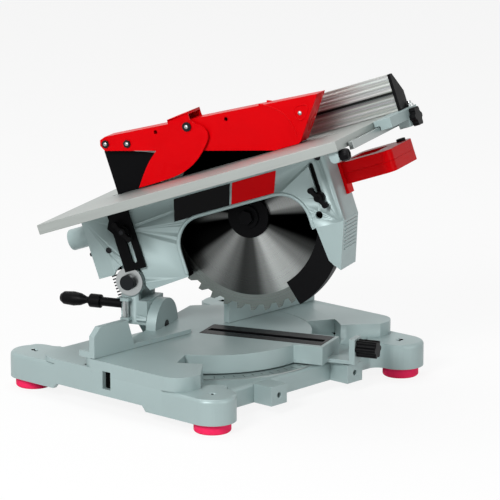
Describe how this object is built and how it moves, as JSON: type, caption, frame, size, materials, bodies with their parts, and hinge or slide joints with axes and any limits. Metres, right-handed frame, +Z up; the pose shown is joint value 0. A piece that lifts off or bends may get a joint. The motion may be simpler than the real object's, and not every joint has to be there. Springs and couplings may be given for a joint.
{
  "type": "mitre saw",
  "caption": "Combination mitre saw: turntable base with a bevelling, chopping saw head that carries a small upper saw table with crown guard and sliding rip fence.",
  "frame": {"origin": "centre of the four feet on the bench", "axes": "+X to the operator's right, +Y to the rear, +Z up; the head rests turned 20 degrees and raised"},
  "size_m": [0.42, 0.4729, 0.4075],
  "materials": {
    "grey_casting": "silver-grey paint on a die casting, satin",
    "red_rubber": "pink-red rubber, matt",
    "bare_aluminium": "machined aluminium, satin",
    "dark_steel": "blackened steel",
    "bright_steel": "bright steel",
    "blade_steel": "ground steel with a ring-brushed middle",
    "black_steel": "black painted sheet",
    "dark_iron": "dark grey painted casting",
    "black_plastic": "black plastic, satin",
    "black_gloss": "bare black label plate",
    "red_gloss": "red plastic, semi-gloss",
    "black_rubber": "black rubber"
  },
  "bodies": {
    "base": {"base_casting": "grey_casting", "work_wings": "grey_casting", "stop_blocks": "grey_casting", "rubber_feet": "red_rubber", "mitre_scale": "bare_aluminium", "fence_left": "grey_casting", "fence_right": "grey_casting", "fence_screws": "dark_steel"},
    "turntable": {"turntable": "grey_casting", "kerf_insert": "black_plastic", "turntable_pins": "dark_steel"},
    "mitre_knob": {"mitre_knob": "black_plastic"},
    "bevel_bracket": {"bevel_bracket": "grey_casting", "stop_post": "bright_steel", "pivot_discs": "bright_steel", "pivot_bolt": "dark_steel", "return_spring": "dark_steel"},
    "bevel_lever": {"bevel_lever": "black_plastic"},
    "head": {"left_cover": "grey_casting", "head_casting": "grey_casting", "front_shroud": "grey_casting", "cover_screws": "dark_steel", "dust_port": "grey_casting", "label_black": "black_gloss", "label_red": "red_gloss", "belt_cover": "black_plastic", "motor_housing": "dark_iron", "motor_cap": "black_plastic", "stator": "dark_iron", "handle_upper": "red_gloss", "handle_lower": "red_gloss", "cord_gland": "black_rubber", "riving_knife": "black_steel", "knife_clamp": "bright_steel", "bearings": "bright_steel", "belt": "black_rubber"},
    "blade": {"blade": "blade_steel", "blade_flanges": "dark_steel", "spindle": "bright_steel", "arbor_bolt": "dark_steel", "driven_pulley": "bare_aluminium"},
    "rotor": {"rotor": "dark_iron"},
    "lower_guard": {"lower_guard": "black_plastic"},
    "trigger": {"trigger": "black_plastic"},
    "lock_button": {"lock_button": "black_plastic"},
    "upper_table": {"upper_table": "bare_aluminium", "table_insert": "bare_aluminium", "rear_guide": "black_steel", "front_guide": "black_steel", "front_rail": "bright_steel"},
    "front_wing": {"front_wing": "black_plastic"},
    "rear_wing": {"rear_wing": "black_plastic"},
    "crown_guard": {"crown_guard": "red_gloss", "crown_bolts": "bright_steel"},
    "guard_flap": {"guard_flap": "red_gloss", "flap_bolt": "bright_steel"},
    "rip_fence": {"rip_fence": "bare_aluminium", "rip_cap": "black_plastic", "rip_carrier": "grey_casting"},
    "rip_knob": {"rip_knob": "black_plastic"}
  },
  "joints": [
    {"name": "mitre_turn", "type": "hinge", "parent": "base", "child": "turntable", "pos_m": [0, 0.014, 0.05], "axis": [0, 0, 1], "range_deg": [-65, 25]},
    {"name": "mitre_knob_turn", "type": "hinge", "parent": "turntable", "child": "mitre_knob", "pos_m": [0.07011, -0.17864, 0.061], "axis": [-0.342, 0.9397, 0], "range_deg": [-180, 180]},
    {"name": "bevel_tilt", "type": "hinge", "parent": "turntable", "child": "bevel_bracket", "pos_m": [-0.02839, 0.09199, 0.065], "axis": [0.342, -0.9397, 0], "range_deg": [0, 45]},
    {"name": "bevel_lever_turn", "type": "hinge", "parent": "bevel_bracket", "child": "bevel_lever", "pos_m": [-0.05514, 0.12163, 0.092], "axis": [-0.342, 0.9397, 0], "range_deg": [-90, 90]},
    {"name": "chop", "type": "hinge", "parent": "bevel_bracket", "child": "head", "pos_m": [-0.0342, 0.10797, 0.127], "axis": [0.9397, 0.342, 0], "range_deg": [-22, 13], "deforming": ["return_spring"]},
    {"name": "guard_swing", "type": "hinge", "parent": "head", "child": "lower_guard", "pos_m": [0.01896, -0.03808, 0.22113], "axis": [0.9397, 0.342, 0], "range_deg": [-42, 46]},
    {"name": "blade_spin", "type": "hinge", "parent": "head", "child": "blade", "pos_m": [0.01896, -0.03808, 0.22113], "axis": [0.9397, 0.342, 0], "continuous": true},
    {"name": "rotor_spin", "type": "hinge", "parent": "head", "child": "rotor", "pos_m": [-0.00905, 0.03886, 0.2052], "axis": [0.9397, 0.342, 0], "continuous": true},
    {"name": "trigger_pull", "type": "slide", "parent": "head", "child": "trigger", "axis": [0.3234, -0.8885, 0.3256], "range_m": [0, 0.005], "stiffness_N_per_m": 600},
    {"name": "lock_button_press", "type": "slide", "parent": "head", "child": "lock_button", "axis": [0.1114, -0.3059, -0.9455], "range_m": [0, 0.0035], "stiffness_N_per_m": 400},
    {"name": "table_rise", "type": "slide", "parent": "head", "child": "upper_table", "axis": [-0.1114, 0.3059, 0.9455], "range_m": [0, 0.04]},
    {"name": "front_wing_turn", "type": "hinge", "parent": "upper_table", "child": "front_wing", "pos_m": [0.02073, -0.15406, 0.26161], "axis": [0.9397, 0.342, 0], "range_deg": [-90, 90]},
    {"name": "rear_wing_turn", "type": "hinge", "parent": "head", "child": "rear_wing", "pos_m": [-0.073, 0.0976, 0.19559], "axis": [0.9397, 0.342, 0], "range_deg": [-90, 90]},
    {"name": "crown_lift", "type": "hinge", "parent": "head", "child": "crown_guard", "pos_m": [-0.04817, 0.14636, 0.30246], "axis": [0.9397, 0.342, 0], "range_deg": [-12, 0.5]},
    {"name": "flap_swing", "type": "hinge", "parent": "crown_guard", "child": "guard_flap", "pos_m": [-0.00795, 0.03585, 0.33534], "axis": [0.9397, 0.342, 0], "range_deg": [-0.5, 36]},
    {"name": "rip_slide", "type": "slide", "parent": "upper_table", "child": "rip_fence", "axis": [0.9397, 0.342, 0], "range_m": [-0.032, 0.004]},
    {"name": "rip_knob_turn", "type": "hinge", "parent": "rip_fence", "child": "rip_knob", "pos_m": [0.1554, -0.19953, 0.35268], "axis": [-0.3234, 0.8885, -0.3256], "range_deg": [-180, 180]}
  ],
  "couplings": [
    {"joint": "guard_swing", "follows": "chop", "ratio": -2},
    {"joint": "rotor_spin", "follows": "blade_spin", "ratio": 1.6667},
    {"joint": "crown_lift", "follows": "table_rise", "rad_per_m": -4.7124},
    {"joint": "flap_swing", "follows": "table_rise", "rad_per_m": 14.399}
  ]
}
